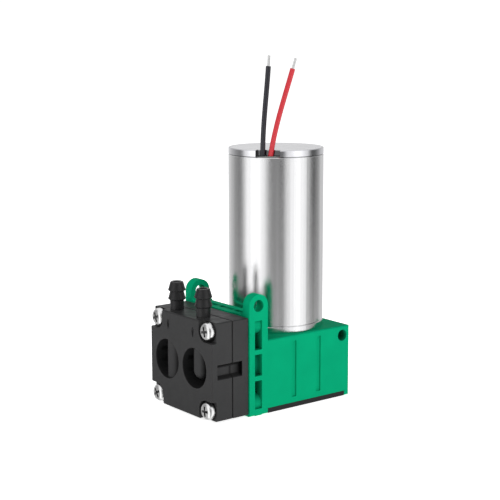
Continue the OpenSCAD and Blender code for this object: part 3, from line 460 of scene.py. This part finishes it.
CAD_FINISH = {
    "crankcase": "green_plastic", "base_cover": "base_plastic", "base_cover_screws": "screw_steel",
    "valve_body": "black_plastic", "head_gasket": "rubber", "head_cover": "cover_plastic",
    "inlet_valve": "rubber", "outlet_valve": "rubber",
    "diaphragm": "rubber", "retaining_plate": "plain_steel", "retaining_screw": "screw_steel",
    "connecting_rod": "white_plastic", "crank_bearing_outer": "plain_steel",
    "crank_bearing_inner": "plain_steel", "crank_bearing_balls": "plain_steel",
    "crank_bearing_cage": "brass", "eccentric": "brass", "eccentric_set_screw": "screw_steel",
    "motor_can": "motor_steel", "motor_front_cap": "motor_steel", "motor_rear_cap": "cap_steel",
    "motor_screws": "screw_steel", "front_bush": "bronze", "rear_bush": "bronze", "magnets": "ferrite",
    "brush_card": "card_plastic", "brushes": "carbon", "motor_shaft": "plain_steel",
    "rotor_core": "laminations", "rotor_winding": "copper", "commutator": "commutator_copper",
}


def paint(obj, material):
    """Puts one material into every slot of an object."""
    if not obj.data.materials:
        obj.data.materials.append(material)
    for slot in obj.material_slots:
        slot.material = material


for node, finish in CAD_FINISH.items():
    paint(nodes[node], made[finish])


# Mesh helpers

def set_smooth(mesh, sharp_angle):
    """Smooth shading, but for edges sharper than an angle in degrees."""
    for polygon in mesh.polygons:
        polygon.use_smooth = True
    mesh.set_sharp_from_angle(angle=math.radians(sharp_angle))


def add_object(name, bm, material, sharp_angle=35.0):
    """An object from a bmesh whose points are in metres in the row frame."""
    bmesh.ops.recalc_face_normals(bm, faces=bm.faces)
    mesh = bpy.data.meshes.new(name)
    bm.to_mesh(mesh)
    bm.free()
    set_smooth(mesh, sharp_angle)
    obj = bpy.data.objects.new(name, mesh)
    scene.collection.objects.link(obj)
    paint(obj, material)
    return obj


def catmull_rom(a, b, c, d, u):
    """The point a share u of the way from b to c."""
    squared = (2 * a - 5 * b + 4 * c - d) * u * u
    cubed = (3 * b - a - 3 * c + d) * u ** 3
    return 0.5 * (2 * b + (c - a) * u + squared + cubed)


def smooth_route(points, per_span):
    """A smooth curve through the points."""
    p = [Vector(q) for q in points]
    p = [2 * p[0] - p[1], *p, 2 * p[-1] - p[-2]]
    route = [catmull_rom(*p[i:i + 4], k / per_span) for i in range(len(p) - 3) for k in range(per_span)]
    return [*route, p[-2]]


def frames(route):
    """Two crosswise directions at each point of a route, carried along it without twist."""
    out = []
    side = None
    for i in range(len(route)):
        ahead = (route[min(i + 1, len(route) - 1)] - route[max(i - 1, 0)]).normalized()
        if side is None:
            side = ahead.cross(Vector((0, 1, 0))).normalized()
        side = (side - ahead * side.dot(ahead)).normalized()
        out.append((side, ahead.cross(side)))
    return out


def sweep(bm, route, radii, sides):
    """Adds a closed tube of changing radius along a route."""
    rings = []
    for point, (u, v), radius in zip(route, frames(route), radii):
        ring = []
        for k in range(sides):
            angle = 2 * math.pi * k / sides
            ring.append(bm.verts.new(point + radius * (math.cos(angle) * u + math.sin(angle) * v)))
        rings.append(ring)
    for a, b in zip(rings, rings[1:]):
        for k in range(sides):
            bm.faces.new((a[k], a[(k + 1) % sides], b[(k + 1) % sides], b[k]))
    bm.faces.new(rings[0][::-1])
    bm.faces.new(rings[-1])


def length_of(route):
    return sum((b - a).length for a, b in zip(route, route[1:]))


# The two leads, along the same routes as in the CAD source

LEAD_D = 1.45 * MM
END_BEVEL, END_BEVEL_L = 0.08 * MM, 0.06 * MM
TIP_L, TIP_ROOT = 3.0 * MM, 0.4 * MM
STRAND_R, STRAND_OFF, STRAND_TURNS = 0.135 * MM, 0.26 * MM, 0.55


def lead_point(inward, along, z):
    """A point in mm, from how far in from the can's outside, how far along the notch and how high it is."""
    r, c, s = CAN_R - inward, math.cos(NOTCH_TURN), math.sin(NOTCH_TURN)
    return (r * c - along * s, r * s + along * c, z)


def lead_route(inward, along, height, steps=14):
    """Straight up through the brush card, then a smooth curve with four guide points."""
    straight = (CARD_BOTTOM_Z - 0.4, CARD_TOP_Z, LEAD_FOOT_Z - 0.6)
    route = [lead_point(inward[0], along[0], z) for z in straight]
    for i in range(steps + 1):
        t = i / steps
        weights = ((1 - t) ** 3, 3 * t * (1 - t) ** 2, 3 * t * t * (1 - t), t ** 3)
        place = [sum(w * c for w, c in zip(weights, guide)) for guide in (inward, along)]
        route.append(lead_point(*place, LEAD_FOOT_Z + height * t))
    return route


def strand_line(start, ahead, u, v, strand, steps):
    """The middle of one of seven strands: six twisted round the last one."""
    off = 0.0 if strand == 6 else STRAND_OFF
    line = []
    for i in range(steps + 1):
        along = i / steps
        turn = 2 * math.pi * (strand / 6 + STRAND_TURNS * along)
        side = off * (math.cos(turn) * u + math.sin(turn) * v)
        line.append(start + (TIP_L + TIP_ROOT) * along * ahead + side)
    return line


def make_lead(name, route_mm, steps=18):
    """One lead with a square-cut insulation end and seven twisted, tinned strands that stand out of it."""
    route = smooth_route([Vector(p) * MM for p in route_mm], per_span=5)
    ahead = (route[-1] - route[-2]).normalized()
    skin = [*route[:-1], route[-1] - END_BEVEL_L * ahead, route[-1]]
    bm = bmesh.new()
    sweep(bm, skin, [LEAD_D / 2] * len(route) + [LEAD_D / 2 - END_BEVEL], sides=20)
    lead = add_object(name + "_skin", bm, made[name], sharp_angle=50)
    u, v = frames(route)[-1]
    start = route[-1] - TIP_ROOT * ahead
    bm = bmesh.new()
    for strand in range(7):
        radii = [STRAND_R] * steps + [STRAND_R * 0.75]
        sweep(bm, strand_line(start, ahead, u, v, strand, steps), radii, sides=8)
    tip = add_object(name + "_strands", bm, made["tinned"], sharp_angle=40)
    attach(lead, "pump_body")
    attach(tip, "pump_body")
    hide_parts(name)
    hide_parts("lead_tips")
    tuple(route[0])
    length_of(route)
    [tuple(p) for p in route]


make_lead("lead_black", lead_route((1.77, 0.37, 1.47, 1.38), (-1.63, -1.46, -0.52, 0.03), 25.2))
make_lead("lead_red", lead_route((1.78, 0.42, 2.18, 2.18), (0.64, 1.99, 4.49, 6.82), 24.5))


# Head screws: pan heads with a tapered cross recess, where the CAD has them

SHANK_END = SCREW_SEAT_Y - SCREW_TIP_Y
HEAD_H, RIM_H, RIM_R = 2.0, 0.72, 2.55
DOME_MID_R, DOME_GROW, DOME_H = 1.42, 1.13, 1.24
CROSS_DEPTH, CROSS_ARM, CROSS_HALF_W = 1.25, 1.55, 0.36


def screw_profile():
    """(radius, height above the seat) points from the shank's end to the top of the head."""
    profile = [(0, SHANK_END), (0.7, SHANK_END), (1.2, SHANK_END + 0.6), (1.22, -0.02), (2.42, 0.0)]
    profile += [(2.53, 0.1), (RIM_R, 0.25), (RIM_R, RIM_H)]
    for k in range(1, 9):
        t = math.radians(90 * k / 8)
        profile.append((DOME_MID_R + DOME_GROW * math.cos(t), RIM_H + DOME_H * math.sin(t)))
    return profile + [(1.1, HEAD_H - 0.015), (0.6, HEAD_H), (0, HEAD_H)]


def revolve(bm, profile, place, sides=48):
    """Revolves a profile that starts and ends on its axis; place maps (x, y, height) to the row frame."""
    rings = []
    for radius, height in profile:
        if radius == 0:
            rings.append([bm.verts.new(place(0, 0, height))])
            continue
        angles = [2 * math.pi * k / sides for k in range(sides)]
        points = [place(radius * math.cos(a), radius * math.sin(a), height) for a in angles]
        rings.append([bm.verts.new(point) for point in points])
    for a, b in zip(rings, rings[1:]):
        for k in range(sides):
            j = (k + 1) % sides
            corner = [a[k % len(a)], a[j % len(a)], b[j % len(b)], b[k % len(b)]]
            unique = list(dict.fromkeys(corner))
            if len(unique) > 2:
                bm.faces.new(unique)


def cross_cutter(bm, place):
    """A cross that narrows towards its floor, as a driver's point does."""
    for turn in (0.0, math.pi / 2):
        c, s = math.cos(turn), math.sin(turn)
        corners = []
        for height, grow in ((HEAD_H + 0.4, 1.12), (HEAD_H - CROSS_DEPTH, 0.45)):
            for sx, sy in ((-1, -1), (1, -1), (1, 1), (-1, 1)):
                x, y = sx * CROSS_ARM * grow, sy * CROSS_HALF_W * (0.75 + 0.25 * grow)
                corners.append(bm.verts.new(place(x * c - y * s, x * s + y * c, height)))
        for face in ((0, 3, 2, 1), (4, 5, 6, 7), (0, 1, 5, 4), (1, 2, 6, 5), (2, 3, 7, 6), (3, 0, 4, 7)):
            bm.faces.new([corners[i] for i in face])


def cut(obj, cutter):
    """Applies a boolean difference and removes the cutter."""
    modifier = obj.modifiers.new("cut", "BOOLEAN")
    modifier.object = cutter
    modifier.solver = "EXACT"
    modifier.use_self = True
    evaluated = obj.evaluated_get(bpy.context.evaluated_depsgraph_get())
    mesh = bpy.data.meshes.new_from_object(evaluated)
    obj.modifiers.clear()
    obj.data = mesh
    bpy.data.objects.remove(cutter)


def darken_cross(screw, seat):
    """Gives the walls and the floor of the cross recess their own darker material, as painted shade."""
    screw.data.materials.append(made["screw_recess"])
    for polygon in screw.data.polygons:
        away = polygon.center - seat
        out, rise = math.hypot(away.x, away.z) / MM, -away.y / MM
        is_wall = 0.6 < rise < 1.9 and out < 1.75 and abs(polygon.normal.y) < 0.7
        is_floor = 0.6 < rise < 0.9 and out < 1.3
        if is_wall or is_floor:
            polygon.material_index = 1


def make_head_screw(name, cx, cz, turn):
    """One screw, its head towards -Y and its cross turned by some degrees."""
    c, s = math.cos(math.radians(turn)), math.sin(math.radians(turn))

    def place(u, v, h):
        return Vector((cx + u * c - v * s, SCREW_SEAT_Y - h, cz + u * s + v * c)) * MM

    bm = bmesh.new()
    revolve(bm, screw_profile(), place)
    screw = add_object(name, bm, made["screw_steel"])
    bm = bmesh.new()
    cross_cutter(bm, place)
    cut(screw, add_object("cutter", bm, made["screw_steel"]))
    set_smooth(screw.data, sharp_angle=38)
    paint(screw, made["screw_steel"])
    darken_cross(screw, Vector((cx, SCREW_SEAT_Y, cz)) * MM)
    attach(screw, "pump_body")
    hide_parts("head_screws")


# Each screw's side, whether it is up or down, and the turn of its cross
HEAD_SCREWS = ((-1, 1, 20), (1, 1, 12), (-1, -1, 33), (1, -1, 5))
for number, (side, up, turn) in enumerate(HEAD_SCREWS, 1):
    make_head_screw(f"head_screw_{number}", side * SCREW_X, HEAD_Z + up * SCREW_DZ, turn)


# Small raised flow marks on the face, one above each recess, painted darker than the face as painted shade

MARK_X, MARK_Z, MARK_H = 6.1, 24.95, 0.12


def make_mark(name, cx, direction):
    """A plain slim arrow along Z with sloped sides."""
    outline = [(-0.16, -1.4), (0.16, -1.4), (0.16, 0.5), (0.46, 0.5), (0, 1.4), (-0.46, 0.5), (-0.16, 0.5)]
    bm = bmesh.new()
    layers = []
    for y, grow in ((FACE_Y + 0.05, 1.0), (FACE_Y, 1.0), (FACE_Y - MARK_H, 0.82)):
        tall = direction * (0.9 + 0.1 * grow)
        layers.append([bm.verts.new(Vector((cx + u * grow, y, MARK_Z + v * tall)) * MM) for u, v in outline])
    for a, b in zip(layers, layers[1:]):
        for k in range(len(a)):
            j = (k + 1) % len(a)
            bm.faces.new((a[k], a[j], b[j], b[k]))
    bm.faces.new(layers[0][::-1])
    bm.faces.new(layers[-1])
    bmesh.ops.triangulate(bm, faces=[f for f in bm.faces if len(f.verts) > 4])
    mark = add_object(name, bm, made["mark_black"], sharp_angle=20)
    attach(mark, "pump_body")


make_mark("flow_mark_in", -MARK_X, -1)
make_mark("flow_mark_out", MARK_X, 1)


# Floor, world and lights

# The brightness that a reflection meets round the horizon, by its degrees from the camera to the right
BANDS = (
    (-180, 0.95), (-160, 0.82), (-129, 0.5), (-110, 0.27), (-97, 0.2), (-89, 0.36), (-82, 0.82), (-70, 1.2),
    (-55, 1.4), (-45, 1.4), (-35, 1.16), (-25, 0.95), (-20, 0.45), (-14, 0.12), (-4, 0.33), (6, 0.23),
    (14, 0.1), (19, 0.33), (26, 0.92), (37, 1.1), (48, 1.42), (60, 1.3), (70, 1.08), (79, 0.85), (87, 0.41),
    (94, 0.1), (106, 0.12), (113, 0.21), (125, 0.42), (134, 0.62), (160, 0.7), (180, 0.95),
)
CEILING = (0.95, 0.95, 0.97, 1)
BACKDROP = (1.05, 1.05, 1.05, 1)
AMBIENT = (0.34, 0.34, 0.345, 1)


def make_floor():
    bm = bmesh.new()
    bmesh.ops.create_grid(bm, x_segments=8, y_segments=8, size=6)
    mesh = bpy.data.meshes.new("floor")
    bm.to_mesh(mesh)
    bm.free()
    floor = bpy.data.objects.new("floor", mesh)
    floor.location = (0, 0, -0.2 * MM)
    scene.collection.objects.link(floor)
    t = Tree(
        "floor_white", Roughness=0.9, Specular_IOR_Level=0.0,
        Emission_Color=(1, 1, 1, 1), Emission_Strength=0.8,
    )
    paint(floor, t.set(Base_Color=t.mix(t.noise(3), (0.93, 0.93, 0.93, 1), (0.95, 0.95, 0.95, 1))))
    floor.visible_glossy = False


def make_world():
    """White behind the object. Reflections see a studio: two tall soft boxes with grey walls between them."""
    world = bpy.data.worlds.new("studio")
    scene.world = world
    world.use_nodes = True
    t = Nodes(world.node_tree)
    t.nodes.clear()
    direction = t.add("ShaderNodeTexCoord").outputs["Generated"]
    turn = math.radians(CAMERA_TURN)
    right = t.dot(direction, (math.cos(turn), math.sin(turn), 0))
    back = t.dot(direction, (math.sin(turn), -math.cos(turn), 0))
    around = t.remap(t.math("ARCTAN2", right, back), -math.pi, math.pi)
    ramp = t.add("ShaderNodeValToRGB", {"Fac": around})
    elements = ramp.color_ramp.elements
    elements.remove(elements[-1])
    for i, (degrees, level) in enumerate(BANDS):
        place = (degrees + 180) / 360
        element = elements.new(place) if i else elements[0]
        element.position = place
        element.color = (level, level, level * 1.01, 1)
    # Towards the floor the dark bands grow lighter, above the horizon all is a little darker, and overhead
    # there is one soft ceiling
    height = t.split(direction)["Z"]
    near_floor = t.remap(height, -0.12, -0.225, 0.0, 0.46)
    lifted = t.mix(1.0, ramp.outputs["Color"], near_floor, blend_type="LIGHTEN")
    shaded = t.mix(1.0, lifted, t.remap(height, 0.0, 0.12, 1.0, 0.82), blend_type="MULTIPLY")
    studio = t.mix(t.remap(height, 0.5, 0.85), shaded, CEILING)
    path = t.add("ShaderNodeLightPath").outputs
    shown = t.mix(path["Is Camera Ray"], studio, BACKDROP)
    background = t.add("ShaderNodeBackground", {"Color": t.mix(path["Is Diffuse Ray"], shown, AMBIENT)})
    t.add("ShaderNodeOutputWorld", {"Surface": background.outputs[0]})


def make_light(name, place, target, size, power):
    """A soft light from a rectangle. It isn't reflected, because the metal reflects the studio instead."""
    data = bpy.data.lights.new(name, "AREA")
    data.shape = "RECTANGLE"
    data.size, data.size_y = size
    data.energy = power
    light = bpy.data.objects.new(name, data)
    light.location = place
    light.rotation_mode = "QUATERNION"
    light.rotation_quaternion = (Vector(target) - Vector(place)).to_track_quat("-Z", "Y")
    light.visible_glossy = False
    scene.collection.objects.link(light)


make_floor()
make_world()
make_light("key_right", place=(0.95, 0.1, 0.45), target=(0, 0, 0.03), size=(0.5, 0.8), power=4.9)
make_light("fill_left", place=(-0.3, -0.85, 0.7), target=(0, 0, 0.03), size=(0.5, 0.6), power=4.9)
make_light("top", place=(0.0, 0.1, 1.1), target=(0, 0, 0), size=(0.9, 0.9), power=1.0)
scene.view_settings.view_transform = "Standard"
